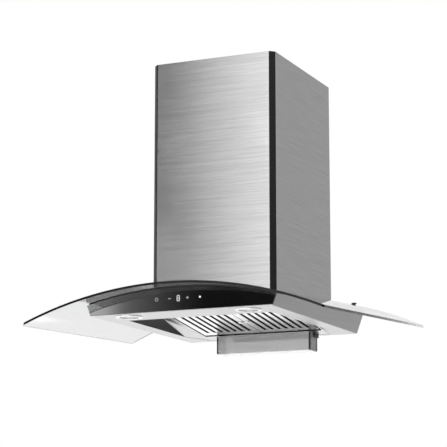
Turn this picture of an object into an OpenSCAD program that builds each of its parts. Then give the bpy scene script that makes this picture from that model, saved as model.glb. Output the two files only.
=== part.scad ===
// Wall range hood with an arched glass canopy, a slim steel body, a telescopic
// chimney, two baffle filters and a clear oil cup. Heights inside the modules are
// measured from the underside of the body; level() then lowers everything so that
// the origin is the centre of the four wall fixing holes, on the wall plane.
// +X is the hood's right as seen from the front, -Y points into the room.

/* [Glass canopy] */
// Width of the glass at the wall
glass_w_rear = 600; // [590:1:640]
// Width of the glass at its front edge
glass_w_front = 560; // [540:1:590]
// Depth of the glass from the wall to its front edge
glass_d = 459; // [450:1:480]
// Thickness of the glass
glass_t = 4; // [3:0.5:5]
// Radius of the arch, on the upper face
glass_r = 720; // [700:5:760]
// Fall of the arch towards the front, in degrees
glass_slope = 3.72; // [3.5:0.02:4]
// Height of the top of the arch above the underside, at the wall
glass_apex = 74.2; // [73:0.1:80]
// Radius of the glass corners, seen from above
glass_corner_r = 6; // [4:1:20]
// Clearance between the glass cut-out and the blower box
glass_notch_gap = 4; // [3:0.5:6]

/* [Body] */
// Width of the body at its underside
body_w = 341; // [338:1:346]
// Depth of the body at its underside
body_d = 413; // [409:1:416]
// Outward lean of the side panels, in degrees
side_lean = 19.8; // [16:0.2:22]
// Forward lean of the front panel, in degrees
front_lean = 0; // [0:0.5:5]
// Thickness of the steel sheet
sheet_t = 1; // [0.8:0.1:1.2]
// Thickness of the seal between the body and the glass
seal_t = 1.6; // [1.2:0.1:2.2]
// Thickness of the touch glass on the front
touch_t = 4; // [3:0.5:5]

/* [Filters] */
// Width of one filter
filter_w = 116; // [112:1:118]
// Length of one filter along its slope
filter_l = 199.5; // [190:0.5:205]
// Thickness of a filter
filter_t = 8; // [7.6:0.1:8.4]
// Rise of the filters towards the front, in degrees
filter_slope = 7.125; // [6.8:0.025:7.3]
// Number of slots in one filter
slot_count = 7; // [5:1:7]
// Distance between neighbouring slots
slot_pitch = 14.2; // [13.6:0.1:14.4]
// Width of one slot
slot_w = 6.4; // [5.6:0.1:7]

/* [Chimney] */
// Width of the lower chimney
chimney_w = 240; // [236:1:250]
// Depth of the lower chimney
chimney_d = 277; // [274:1:284]
// Height of the chimney's top above the underside, with the upper part down
chimney_top = 480; // [470:1:520]
// Width of the bevel across each front corner, along the sides
corner_cut = 8; // [6:0.5:10]
// Thickness of the dark corner strips
strip_t = 1.2; // [1:0.1:1.6]

/* [Blower] */
// Outer radius of the outlet collar
collar_r = 75; // [72:0.5:77]
// Height of the outlet collar above its flange
collar_h = 50; // [46:1:56]
// Outer radius of the blower wheel
wheel_r = 66; // [62:1:68]
// Width of the blower wheel
wheel_w = 98; // [90:1:100]
// Number of wheel blades
blade_count = 32; // [24:1:36]
// Radius of the motor can
motor_r = 44; // [40:0.5:45]
// Radius of the motor shaft
shaft_r = 4; // [3:0.5:5]

/* [Lamps] */
// Outer radius of a lamp ring
lamp_r = 24; // [20:0.5:26]
// Distance of each lamp from the centre line
lamp_x = 113; // [100:1:120]

/* [Oil cup] */
// Length of the oil cup
cup_l = 190; // [170:1:210]
// Height of the oil cup
cup_h = 30; // [26:1:36]
// Wall of the oil cup
cup_wall = 2; // [1.6:0.1:2.4]

/* [Wall fixing] */
// Sideways distance between the wall fixing holes
fix_x = 160; // [140:1:170]
// Upright distance between the wall fixing holes
fix_z = 170; // [150:1:190]
// Radius of a wall fixing hole
fix_r = 3.5; // [2.5:0.25:4.5]
// Height of the fixing pattern's centre above the underside
fix_height = 193; // [185:1:200]

/* [Hidden] */
$fn = 48;

// Clearances
seat_gap = 0.2;
part_gap = 0.3;
run_gap = 0.05;
eps = 0.01;
reach = glass_r;
tall = 2 * glass_apex;

// The arch
seat_r = glass_r - glass_t - seal_t;
function arch_z(x, y, r) =
    glass_apex - glass_r / cos(glass_slope) + y * tan(glass_slope)
    + sqrt(r * r - x * x) / cos(glass_slope);

// Body envelope
touch_set = (touch_t + part_gap) / cos(front_lean);
side_skin = sheet_t / cos(side_lean);
front_skin = sheet_t / cos(front_lean);
ledge_t = sheet_t;
function half_w(z) = body_w / 2 + z * tan(side_lean);
function front_y(z) = -body_d - z * tan(front_lean);

// Clamping screws and pads of the glass
bolt_out = 1.5;
bolt_x = body_w / 2 + bolt_out;
bolt_y = -18;
bolt_r = 3;
bolt_hole_r = bolt_r + 1;
pad_r = 8;

// Recess in the underside
recess_front = 334;
recess_rear = 86;
recess_half_front = 136;
recess_half_rear = 143;
shelf_z = 27.5;
filter_zero = 12.8;
filter_rear = 38;
filter_gap = 1.2;
filter_front = filter_rear + filter_l;
filter_half = filter_w + filter_gap / 2;
seat_half = filter_half + filter_gap;
strip_half = seat_half + 4;
rim_w = (filter_w - (slot_count - 1) * slot_pitch - slot_w) / 2;
slot_end = 20;
catch_w = 30;
keeper_w = catch_w + 6;
keeper_h = 6;
drain_x = 50;
drain_w = 28;
drain_s = 15;
drain_d = 8;
slot_l = filter_l - 2 * slot_end;
fold = filter_zero + 2.2;
fold_lap = 1.5;
function plane_z(y) = (-y - filter_zero) * tan(filter_slope);
function plane_y(s) = -filter_zero - s * cos(filter_slope);

// Blower box, blower and outlet
box_side_room = 20;
box_front_room = 31;
box_half = chimney_w / 2 - box_side_room;
box_d = chimney_d - box_front_room;
box_top = 310;
box_flange = 13;
wheel_y = -95;
wheel_z = 178;
wheel_room = 9;
volute_half = wheel_w / 2 + wheel_room;
scroll_start = 7;
scroll_grow = 27;
scroll_r0 = wheel_r + scroll_start;
scroll_r1 = scroll_r0 + scroll_grow;
tongue_a = 75;
inlet_lap = 14;
inlet_r = wheel_r - inlet_lap;
bell_r = 8;
skin = 1.2;
flange_t = 1.5;
collar_y = -135;
collar_base = box_top + flange_t;
pin_drop = 20;
pin_z = collar_base + collar_h - pin_drop;
pin_r = 2.5;
flap_gap = 1;
flap_r = collar_r - skin - flap_gap;
knuckle_r = 4.2;

// Chimney sheets
slide_gap = 0.8;
strip_cut = corner_cut + (strip_t + seat_gap / 2) * sqrt(2);
upper_w = chimney_w - 2 * (sheet_t + slide_gap);
upper_d = chimney_d - sheet_t - slide_gap;
upper_cut = strip_cut - (2 - sqrt(2)) * (sheet_t + slide_gap);
upper_base = 104;

// Oil cup and lamps
cup_front = 47;
cup_rear = 10;
cup_top = -1.5;
cup_lip_l = 6;
cup_end_t = 3;
cup_rail_z = cup_top - 2.5;
lamp_y = -378;
lamp_ring_w = 4;
lamp_hole = lamp_r - lamp_ring_w;

module level() {
    translate([0, 0, -fix_height]) children();
}

// A cylinder whose top is the arch of radius r
module arch(r) {
    translate([0, 0, glass_apex - glass_r / cos(glass_slope)])
        rotate([90 + glass_slope, 0, 0])
            cylinder(r = r, h = 3 * reach, center = true, $fn = 360);
}

// Extrudes a (y, z) outline along +X from x0 to x1
module along_x(x0, x1) {
    translate([x0, 0, 0]) rotate([90, 0, 90]) linear_extrude(height = x1 - x0) children();
}

// Places children on the filter plane: -Y runs up the slope, +Z is square to it
module on_slope() {
    translate([0, -filter_zero, 0]) rotate([-filter_slope, 0, 0]) children();
}

// Solid under the seal, with its sides, front, rear and top drawn in
module body_mass(side_in, front_in, rear_in, top_in, z0) {
    intersection() {
        rotate([90, 0, 0]) linear_extrude(height = reach * 2, center = true)
            polygon([
                [-half_w(z0) + side_in, z0], [half_w(z0) - side_in, z0],
                [half_w(tall) - side_in, tall], [-half_w(tall) + side_in, tall]
            ]);
        along_x(-reach, reach)
            polygon([
                [front_y(z0) + front_in, z0], [-rear_in, z0],
                [-rear_in, tall], [front_y(tall) + front_in, tall]
            ]);
        arch(seat_r - top_in);
    }
}

// Body: one folded sheet with an arched top and an opening for the air
module canopy_body() {
    color("silver") level() difference() {
        body_mass(0, 0, 0, 0, 0);
        // Set-back for the touch glass, above the ledge it stands on
        difference() {
            translate([-reach, -reach, ledge_t]) cube([2 * reach, reach, tall]);
            along_x(-2 * reach, 2 * reach)
                polygon([
                    [front_y(0) + touch_set, 0], [0, 0],
                    [0, 2 * tall], [front_y(2 * tall) + touch_set, 2 * tall]
                ]);
        }
        body_mass(side_skin, touch_set + front_skin, sheet_t, sheet_t, -sheet_t);
        translate([-box_half + box_flange, -box_d + box_flange, 0])
            cube([2 * (box_half - box_flange), box_d - 2 * box_flange, tall]);
        for (x = [-bolt_x, bolt_x])
            translate([x, bolt_y, arch_z(bolt_x, bolt_y, seat_r) - 2 * bolt_r])
                cylinder(r = bolt_r + seat_gap, h = tall);
    }
}

recess_run = recess_front - recess_rear;
recess_splay = recess_half_rear - recess_half_front;
recess_turn = atan(recess_splay / recess_run);
knee_y = -188;
bite = 0.5;
sheet_step = 0.2;
rear_lift = 0.35;
function wall_x(y) = recess_half_rear + (y + recess_rear) * recess_splay / recess_run;
function slope_s(y) = (-y - filter_zero) / cos(filter_slope);

// Half width of the recess at the fold, where its sides have run out
fold_half = recess_half_rear - (recess_rear - fold) * tan(filter_slope)
    * (recess_half_rear - strip_half) / plane_z(-recess_rear);

// Plan of the recess, grown by over on all sides
module recess_outline(over) {
    polygon([
        [-fold_half - over, -fold + over],
        [-recess_half_rear - over, -recess_rear],
        [-recess_half_front - over, -recess_front - over],
        [recess_half_front + over, -recess_front - over],
        [recess_half_rear + over, -recess_rear],
        [fold_half + over, -fold + over]
    ]);
}

// Sheet with the plan given, whose lower face passes through
// z = grade_x * (x - recess_half_rear) + grade_y * (y + recess_rear) + lift
module tilted_sheet(plan, grade_x, grade_y, lift) {
    steep = sqrt(1 + grade_x * grade_x + grade_y * grade_y);
    intersection() {
        linear_extrude(height = tall) polygon(plan);
        translate([recess_half_rear, -recess_rear, lift])
            rotate([asin(grade_y / steep), atan(-grade_x), 0])
                translate([-tall, -tall, 0]) cube([2 * tall, 2 * tall, sheet_t]);
    }
}

// Right side of the recess: an upright wall that fades out to the rear, and the
// two sloping corner sheets between it, the filter seat and the rear of the rim
module recess_side() {
    wall_l = recess_run / cos(recess_turn);
    seat_end = plane_y(filter_front + filter_gap);
    translate([recess_half_rear, -recess_rear, 0]) rotate([0, 0, -recess_turn])
        along_x(0, sheet_t)
            polygon([
                [0, 0], [0, sheet_t], [knee_y + recess_rear, plane_z(knee_y) + sheet_t],
                [seat_end + recess_rear, plane_z(seat_end) + sheet_t],
                [-wall_l, shelf_z + sheet_t], [-wall_l, 0]
            ]);
    across = strip_half - recess_half_rear;
    grade_x = (plane_z(-recess_rear) + sheet_step) / across;
    grade_y = (plane_z(knee_y) + sheet_step - grade_x * (wall_x(knee_y) - recess_half_rear))
        / (knee_y + recess_rear);
    tilted_sheet([
        [recess_half_rear + bite, -recess_rear + bite],
        [strip_half - 2 * bite, -recess_rear + bite],
        [strip_half - 2 * bite, -recess_rear - bite],
        [wall_x(knee_y) - bite, knee_y - bite], [wall_x(knee_y) + bite, knee_y - bite]
    ], grade_x, grade_y, 0);
    tilted_sheet([
        [recess_half_rear + bite, -recess_rear - bite], [fold_half + bite, -fold + bite],
        [strip_half - 2 * bite, -fold + bite], [strip_half - 2 * bite, -recess_rear - bite]
    ], plane_z(-recess_rear) / across, -tan(filter_slope), rear_lift);
}

// Underside pan: flat rim, recess, sloping filter seat, lamp and drain holes
module underside_pan() {
    rim_front = body_d - touch_set - front_skin - part_gap;
    rim_half = body_w / 2 - side_skin - part_gap;
    front_s = filter_front + filter_gap;
    rear_s = slope_s(-fold) - fold_lap;
    seat_end = plane_y(front_s);
    color("gainsboro") level() {
        linear_extrude(height = sheet_t) difference() {
            translate([-rim_half, -rim_front])
                square([2 * rim_half, rim_front - sheet_t - part_gap]);
            recess_outline(0);
            for (x = [-lamp_x, lamp_x]) translate([x, lamp_y]) circle(r = lamp_hole);
        }
        recess_side();
        mirror([1, 0, 0]) recess_side();
        // Front wall of the recess and the shelf behind it
        intersection() {
            along_x(-recess_half_rear, recess_half_rear)
                polygon([
                    [-recess_front - sheet_t, 0], [-recess_front, 0],
                    [-recess_front, shelf_z], [seat_end - bite, plane_z(seat_end)],
                    [seat_end - bite, plane_z(seat_end) + sheet_t],
                    [-recess_front - sheet_t, shelf_z + sheet_t]
                ]);
            linear_extrude(height = tall, center = true) recess_outline(sheet_t);
        }
        // Filter seat, from the fold to the side walls in front of the knee
        on_slope() linear_extrude(height = sheet_t) difference() {
            polygon([
                [strip_half, -rear_s], [strip_half, -slope_s(-recess_rear)],
                [wall_x(knee_y) + bite, -slope_s(knee_y)],
                [wall_x(seat_end) + bite, -front_s - sheet_t],
                [-wall_x(seat_end) - bite, -front_s - sheet_t],
                [-wall_x(knee_y) - bite, -slope_s(knee_y)],
                [-strip_half, -slope_s(-recess_rear)], [-strip_half, -rear_s]
            ]);
            translate([-seat_half, -front_s]) square([2 * seat_half, filter_l + 2 * filter_gap]);
            for (x = [-drain_x, 0, drain_x])
                translate([x - drain_w / 2, -drain_s - drain_d]) square([drain_w, drain_d]);
        }
        // Keepers that face the filter catches
        on_slope() for (side = [-1, 1])
            translate([side * (filter_w + filter_gap) / 2 - keeper_w / 2, -front_s - sheet_t, 0])
                cube([keeper_w, sheet_t, keeper_h]);
    }
}

// Corner of the glass outline: an arc of radius r about c, from a0 to a1
function arc(c, r, a0, a1, n) =
    [for (i = [0:n]) c + r * [cos(a0 + (a1 - a0) * i / n), sin(a0 + (a1 - a0) * i / n)]];

// Plan of the glass: straight front, splayed sides, rounded front corners
module glass_plan() {
    splay = atan((glass_w_rear - glass_w_front) / 2 / glass_d);
    cy = -glass_d + glass_corner_r;
    side_x = glass_w_rear / 2 - (glass_d - glass_corner_r) * tan(splay);
    cx = side_x - glass_corner_r / cos(splay);
    polygon(concat(
        [[glass_w_rear / 2, 0], [-glass_w_rear / 2, 0]],
        arc([-cx, cy], glass_corner_r, 180 - splay + 2 * splay, 270, 8),
        arc([cx, cy], glass_corner_r, 270, 360 - splay, 8)
    ));
}

// Glass canopy, cut out at the rear round the blower box
module glass_canopy() {
    notch_half = box_half + glass_notch_gap;
    color([0.75, 0.8, 0.8, 0.5]) level() difference() {
        intersection() {
            translate([0, 0, -tall]) linear_extrude(height = 2 * tall) glass_plan();
            arch(glass_r);
        }
        arch(glass_r - glass_t);
        translate([-notch_half, -box_d - glass_notch_gap, -tall])
            cube([2 * notch_half, box_d + glass_notch_gap + 1, 2 * tall]);
        for (x = [-bolt_x, bolt_x])
            translate([x, bolt_y, 0]) cylinder(r = bolt_hole_r, h = tall);
    }
}

module seal_layer() {
    difference() {
        arch(glass_r - glass_t - eps);
        arch(seat_r + eps);
    }
}

// Seal: a dark band under the glass, all round the body's top
module glass_seal() {
    band = 7;
    proud = 2;
    half = body_w / 2 + proud;
    front = body_d + proud;
    notch_half = box_half + glass_notch_gap;
    color("dimgray") level() intersection() {
        seal_layer();
        linear_extrude(height = tall) difference() {
            translate([-half, -front]) square([2 * half, front - sheet_t]);
            translate([-half + band, -front + band])
                square([2 * (half - band), front - 2 * band - sheet_t]);
            translate([-notch_half, -2 * band]) square([2 * notch_half, 3 * band]);
            for (x = [-bolt_x, bolt_x]) translate([x, bolt_y]) circle(r = pad_r + part_gap);
        }
    }
}

// Rubber pads that carry the glass at the bolts and beside the front corners
module glass_pads() {
    pad_side = 15.5;
    pad_in = 22;
    color("black") level() intersection() {
        seal_layer();
        linear_extrude(height = tall) {
            for (side = [-1, 1]) {
                translate([side * bolt_x, bolt_y]) difference() {
                    circle(r = pad_r);
                    circle(r = bolt_hole_r);
                }
                translate([side * (body_w / 2 - pad_side), -body_d + pad_in])
                    circle(r = pad_r);
            }
        }
    }
}

// Screws with dark caps that clamp the glass at the rear corners of the body
module glass_bolts() {
    cap_r = 5;
    cap_h = 1;
    nut_h = 4;
    nut_r = 5.5;
    cap_z = arch_z(bolt_x - cap_r, bolt_y, glass_r) + part_gap;
    nut_z = arch_z(bolt_x + cap_r, bolt_y - cap_r, seat_r) - sheet_t - nut_h - 1;
    color("black") level() for (x = [-bolt_x, bolt_x]) translate([x, bolt_y, 0]) {
        translate([0, 0, nut_z]) cylinder(r = bolt_r, h = cap_z + cap_h - nut_z);
        translate([0, 0, cap_z]) cylinder(r = cap_r, h = cap_h);
        translate([0, 0, cap_z + cap_h]) cylinder(r1 = cap_r, r2 = cap_r - 1.5, h = cap_h);
        translate([0, 0, nut_z]) cylinder(r = nut_r, h = nut_h, $fn = 6);
    }
}

// Touch glass on the front, standing on the body's ledge
module touch_panel() {
    depth = touch_t / cos(front_lean);
    low = -touch_t;
    high = tall + touch_t;
    color([0.06, 0.06, 0.07]) level() difference() {
        body_mass(0, 0, 0, part_gap, ledge_t + seat_gap);
        along_x(-reach, reach)
            polygon([
                [front_y(low) + depth, low], [touch_t, low],
                [touch_t, high], [front_y(high) + depth, high]
            ]);
    }
}

// Places children on the back of the front wall of the body: +Z is into the body
module behind_front(z) {
    translate([0, front_y(z) + touch_set + front_skin, z])
        rotate([front_lean - 90, 0, 0]) children();
}

board_z = 20;
board_w = 120;
board_h = 18;
board_t = 1.6;
board_stand = 4;
key_x = [-39, -14, 19, 42];
display_x = 2;
display_w = 11;
display_h = 10;

// Board behind the touch glass
module touch_board() {
    color("darkgreen") level() behind_front(board_z)
        translate([-board_w / 2, -board_h / 2, part_gap + board_stand])
            cube([board_w, board_h, board_t]);
}

// Sprung sensor pads between the board and the front, one behind each sign
module touch_sensors() {
    pad_t = 0.8;
    color("goldenrod") level() behind_front(board_z)
        for (x = key_x) translate([x, 0, part_gap]) {
            cylinder(r = 4, h = pad_t);
            translate([0, 0, pad_t]) cylinder(r = 2, h = board_stand - pad_t);
        }
}

// Segment display on the board
module display_module() {
    color("white") level() behind_front(board_z)
        translate([display_x - display_w / 2, -display_h / 2, part_gap])
            cube([display_w, display_h, board_stand]);
}

lamp_lip = 3;
lamp_face = 1.6;
lamp_skin = 1.2;
lamp_seat = 0.6;
lamp_neck = 9;
lens_t = 2;
lens_r = lamp_hole - lamp_skin - 2 * seat_gap;

// Ring of a lamp: a bevelled face below the pan and a neck through it
module lamp_ring(x) {
    color("lightgray") level() translate([x, lamp_y, 0]) rotate_extrude()
        polygon([
            [lamp_hole - lamp_lip, -lamp_face], [lamp_r - 1, -lamp_face],
            [lamp_r, 1 - lamp_face], [lamp_r, 0],
            [lamp_hole - seat_gap, 0], [lamp_hole - seat_gap, lamp_neck],
            [lamp_hole - seat_gap - lamp_skin, lamp_neck],
            [lamp_hole - seat_gap - lamp_skin, lamp_seat], [lamp_hole - lamp_lip, lamp_seat]
        ]);
}

// Frosted disc that lies on the lip of its ring
module lamp_lens(x) {
    color("white") level() translate([x, lamp_y, lamp_seat + eps])
        cylinder(r = lens_r, h = lens_t);
}

// Light module on the lens, with a finned sink
module lamp_module(x) {
    base_t = 3;
    post_h = 9;
    fin_t = 1;
    fin_pitch = 2.4;
    color("gray") level() translate([x, lamp_y, lamp_seat + lens_t + 2 * eps]) {
        cylinder(r = lens_r, h = base_t);
        translate([0, 0, base_t]) cylinder(r = lens_r - 6, h = post_h);
        for (i = [0:3]) translate([0, 0, base_t + 1.4 + i * fin_pitch])
            cylinder(r = lens_r - 1.5, h = fin_t);
    }
}

module lamp_ring_left() { lamp_ring(-lamp_x); }
module lamp_ring_right() { lamp_ring(lamp_x); }
module lamp_lens_left() { lamp_lens(-lamp_x); }
module lamp_lens_right() { lamp_lens(lamp_x); }
module lamp_module_left() { lamp_module(-lamp_x); }
module lamp_module_right() { lamp_module(lamp_x); }

// Filters: side is -1 for the left one and 1 for the right one
module at_filter(side) {
    level() on_slope() translate([side > 0 ? filter_gap / 2 : -filter_w - filter_gap / 2,
        -filter_front, 0]) children();
}

pull_inset = 6.5;
pull_s = 85.5;
pull_r = 5;
rivet_r = 2;
lug_w = 12;
lug_l = 3.2;
frame_t = 1;
frame_lip = 5;
function pull_x(side) = side > 0 ? pull_inset : filter_w - pull_inset;

// Frame of a filter: rim below, narrow lip above, wall between them, and two
// lugs that lie over the rear edge of the filter seat
module filter_frame(side) {
    color("gainsboro") at_filter(side) {
        for (x = [filter_w / 4, filter_w * 3 / 4])
            translate([x - lug_w / 2, filter_l - eps, sheet_t + part_gap])
                cube([lug_w, lug_l, frame_t]);
        difference() {
            cube([filter_w, filter_l, filter_t]);
            translate([frame_t, frame_t, frame_t])
                cube([filter_w - 2 * frame_t, filter_l - 2 * frame_t,
                    filter_t - 2 * frame_t]);
            translate([rim_w, slot_end, -frame_t])
                cube([filter_w - 2 * rim_w, slot_l, 3 * frame_t]);
            translate([frame_lip, frame_lip, filter_t - 2 * frame_t])
                cube([filter_w - 2 * frame_lip, filter_l - 2 * frame_lip, 4 * frame_t]);
            translate([pull_x(side), filter_l - pull_s, -frame_t])
                cylinder(r = rivet_r + seat_gap, h = 3 * frame_t);
        }
    }
}

bar_w = slot_pitch - slot_w;
bar_h = 5;
bar_t = 0.8;
roof_over = 2.3;
roof_drop = 5.4;

// Lower channels of a filter, open upwards, between the slots
module filter_lower(side) {
    color("silver") at_filter(side)
        translate([rim_w + slot_w, slot_end + slot_l, 0]) rotate([90, 0, 0])
            linear_extrude(height = slot_l) for (i = [0:slot_count - 2])
                translate([i * slot_pitch, 0]) difference() {
                    square([bar_w, bar_h]);
                    translate([bar_t, bar_t]) square([bar_w - 2 * bar_t, bar_h]);
                }
}

// Upper channels, open downwards, whose lips hang inside the lower ones
module filter_upper(side) {
    half = slot_w / 2 + bar_t + roof_over;
    color("silver") at_filter(side)
        translate([rim_w + slot_w / 2, filter_l - frame_lip, 0]) rotate([90, 0, 0])
            linear_extrude(height = filter_l - 2 * frame_lip) for (i = [0:slot_count - 1])
                translate([i * slot_pitch, filter_t]) difference() {
                    translate([-half, -roof_drop]) square([2 * half, roof_drop]);
                    translate([-half + bar_t, -roof_drop - bar_t])
                        square([2 * (half - bar_t), roof_drop]);
                }
}

// Small round pull riveted to the inner rim of a filter
module filter_pull(side) {
    face_t = 1;
    body_t = 1.2;
    color("gray") at_filter(side) translate([pull_x(side), filter_l - pull_s, 0]) {
        translate([0, 0, -body_t - face_t]) cylinder(r1 = pull_r - 0.8, r2 = pull_r, h = face_t);
        translate([0, 0, -body_t]) cylinder(r = pull_r, h = body_t - eps);
        translate([0, 0, -eps]) cylinder(r = rivet_r, h = 2 * frame_t);
        translate([0, 0, frame_t + eps]) cylinder(r = rivet_r + 1, h = frame_t);
    }
}

// Leaf spring catch on the front wall of a filter, bulged towards its keeper
module filter_catch(side) {
    leaf_t = 0.5;
    bulge = 0.85;
    low = 2.4;
    mid = 3.6;
    high = 4.6;
    color("lightgray") at_filter(side) translate([(filter_w - catch_w) / 2, 0, 0])
        along_x(0, catch_w)
            polygon([
                [-eps, low], [-eps, filter_t - 0.8], [-leaf_t, filter_t - 0.8],
                [-leaf_t, high], [-bulge, mid], [-leaf_t, low]
            ]);
}

module filter_frame_left() { filter_frame(-1); }
module filter_frame_right() { filter_frame(1); }
module filter_lower_left() { filter_lower(-1); }
module filter_lower_right() { filter_lower(1); }
module filter_upper_left() { filter_upper(-1); }
module filter_upper_right() { filter_upper(1); }
module filter_pull_left() { filter_pull(-1); }
module filter_pull_right() { filter_pull(1); }
module filter_catch_left() { filter_catch(-1); }
module filter_catch_right() { filter_catch(1); }

// Cuts children off a little below the filter plane and its extension
module below_plane(gap) {
    intersection() {
        children();
        on_slope() translate([-cup_l, -tall, -tall - gap]) cube([2 * cup_l, 2 * tall, tall]);
    }
}

// Clear trough that catches the oil, with a rear flange that rests on the rail
module oil_cup() {
    flange_in = 12;
    half = cup_l / 2 - cup_end_t - eps;
    low = cup_top - cup_h;
    color([0.8, 0.8, 0.8, 0.5]) level() {
        below_plane(-cup_top) along_x(-half, half) difference() {
            translate([-cup_front, low]) square([cup_front - cup_rear, 2 * cup_h]);
            translate([-cup_front + cup_wall, low + cup_wall])
                square([cup_front - cup_rear - 2 * cup_wall, 2 * cup_h]);
        }
        translate([-cup_l / 2 + flange_in, -cup_rear - eps, cup_rail_z])
            cube([cup_l - 2 * flange_in, cup_lip_l, cup_wall]);
    }
}

// End walls of the cup, with rounded lower edges
module cup_ends() {
    low = cup_top - cup_h;
    half = cup_l / 2;
    color([0.8, 0.8, 0.8, 0.5]) level() below_plane(-cup_top)
        for (side = [0, 1]) mirror([side, 0, 0])
            translate([0, -cup_rear, 0]) rotate([90, 0, 0])
                linear_extrude(height = cup_front - cup_rear)
                    polygon(concat(
                        [[half - cup_end_t, low], [half - cup_end_t, cup_h]], [[half, cup_h]],
                        arc([half - cup_end_t, low + cup_end_t], cup_end_t, 360, 270, 8)
                    ));
}

// Magnet blocks on the cup's ends, just under the steel pan
module cup_magnets() {
    magnet_t = 3.5;
    magnet_l = 20;
    magnet_in = 1;
    magnet_low = -6;
    color("black") level() below_plane(part_gap)
        for (side = [0, 1]) mirror([side, 0, 0])
            translate([cup_l / 2 + eps, -cup_rear - magnet_in - magnet_l, magnet_low])
                cube([magnet_t, magnet_l, cup_h]);
}

// Rail under the rear rim that carries the cup's flange
module cup_rail() {
    rail_in = 14;
    rail_t = 1.2;
    web = 2;
    inner = 1;
    lip_z = cup_rail_z - part_gap;
    rail_half = cup_l / 2 - rail_in;
    color("silver") level() along_x(-rail_half, rail_half)
        polygon([
            [-inner, -eps], [-inner - web, -eps], [-inner - web, lip_z],
            [-cup_rear + inner, lip_z], [-cup_rear + inner, lip_z - rail_t],
            [-inner, lip_z - rail_t]
        ]);
}

// Plan of a chimney sheet that is open to the wall
function u_plan(w, d, cut, rear) = [
    [-w / 2, rear], [-w / 2, -d + cut], [-w / 2 + cut, -d],
    [w / 2 - cut, -d], [w / 2, -d + cut], [w / 2, rear]
];

module u_sheet(w, d, cut) {
    difference() {
        polygon(u_plan(w, d, cut, 0));
        polygon(u_plan(w - 2 * sheet_t, d - sheet_t,
            cut - (2 - sqrt(2)) * sheet_t, 1));
    }
}

// Lower chimney, standing on the glass
module lower_chimney() {
    color("silver") level() difference() {
        linear_extrude(height = chimney_top) u_sheet(chimney_w, chimney_d, strip_cut);
        arch(glass_r + seat_gap);
    }
}

// Dark strip across a front corner of the lower chimney
module corner_strip(side) {
    w = chimney_w / 2;
    in_cut = corner_cut + strip_t * sqrt(2);
    color([0.05, 0.05, 0.05]) level() difference() {
        linear_extrude(height = chimney_top)
            polygon([
                [side * (w - corner_cut), -chimney_d], [side * w, -chimney_d + corner_cut],
                [side * w, -chimney_d + in_cut], [side * (w - in_cut), -chimney_d]
            ]);
        arch(glass_r + seat_gap);
    }
}

module corner_strip_left() { corner_strip(-1); }
module corner_strip_right() { corner_strip(1); }

vent_count = 10;
vent_pitch = 12;
vent_w = 5;
vent_h = 46;
vent_drop = 30;
upper_drop = 2;
upper_top = chimney_top - upper_drop;
wall_lip = 12;

// Upper chimney, nested in the lower one, with outlet vents near its top
module upper_chimney() {
    vent_y = -upper_d / 2 - (vent_count - 1) * vent_pitch / 2;
    color("silver") level() difference() {
        union() {
            translate([0, 0, upper_base])
                linear_extrude(height = upper_top - upper_base)
                    u_sheet(upper_w, upper_d, upper_cut);
            // Return flanges along the wall
            for (side = [-1, 1])
                translate([side * (upper_w - wall_lip) / 2 - wall_lip / 2, -sheet_t, upper_base])
                    cube([wall_lip, sheet_t, upper_top - upper_base]);
        }
        for (i = [0:vent_count - 1])
            translate([-upper_w, vent_y + i * vent_pitch, upper_top - vent_drop - vent_h])
                cube([2 * upper_w, vent_w, vent_h]);
    }
}

// Bracket that screws to the wall and holds the top of the upper chimney
module ceiling_bracket() {
    strap_t = 1.5;
    strap_h = 24;
    strap_drop = 38;
    hole_r = 3;
    half = upper_w / 2 - sheet_t - part_gap;
    z0 = upper_top - strap_drop;
    y0 = -sheet_t - part_gap;
    color("silver") level() difference() {
        union() {
            translate([-half, y0 - strap_t, z0]) cube([2 * half, strap_t, strap_h]);
            for (side = [-1, 1])
                translate([side * (half - strap_t / 2) - strap_t / 2, y0 - strap_h, z0])
                    cube([strap_t, strap_h, strap_h]);
        }
        for (x = [-1, 1]) translate([x * fix_x / 2, strap_t, z0 + strap_h / 2])
            rotate([90, 0, 0]) cylinder(r = hole_r, h = 4 * strap_t);
    }
}

// Clips that tie the lower chimney to the blower box, below the upper one
module chimney_clips() {
    clip_l = 20;
    clip_h = 14;
    clip_t = 1.5;
    clip_z = upper_base - clip_h - 12;
    wide = chimney_w / 2 - sheet_t - part_gap - box_half - part_gap;
    color("silver") level() for (side = [-1, 1], part = [1, 3])
        translate([0, -box_d * part / 4 - clip_l / 2, clip_z]) on_side(side)
            translate([box_half + part_gap, 0, 0]) {
                cube([clip_t, clip_l, clip_h]);
                cube([wide, clip_l, clip_t]);
                translate([wide - clip_t, 0, 0]) cube([clip_t, clip_l, clip_h]);
            }
}

module on_side(side) {
    if (side < 0) mirror([1, 0, 0]) children();
    else children();
}

box_foot = 30;

// Blower box: open below, flanged onto the body's top, with the wall fixing holes
module chassis() {
    color("lightsteelblue") level() {
        difference() {
            translate([-box_half, -box_d, box_foot])
                cube([2 * box_half, box_d, box_top - box_foot]);
            translate([-box_half + sheet_t, -box_d + sheet_t, 0])
                cube([2 * (box_half - sheet_t), box_d - 2 * sheet_t, box_top - sheet_t]);
            arch(seat_r + eps);
            translate([0, collar_y, box_top - 2 * sheet_t])
                cylinder(r = collar_r - skin, h = 4 * sheet_t);
            for (x = [-1, 1], z = [-1, 1])
                translate([x * fix_x / 2, sheet_t, fix_height + z * fix_z / 2])
                    rotate([90, 0, 0]) cylinder(r = fix_r, h = 3 * sheet_t);
        }
        intersection() {
            difference() {
                arch(seat_r + sheet_t);
                arch(seat_r + eps);
            }
            linear_extrude(height = tall) difference() {
                translate([-box_half, -box_d]) square([2 * box_half, box_d]);
                translate([-box_half + box_flange, -box_d + box_flange])
                    square([2 * (box_half - box_flange), box_d - 2 * box_flange]);
            }
        }
    }
}

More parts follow.
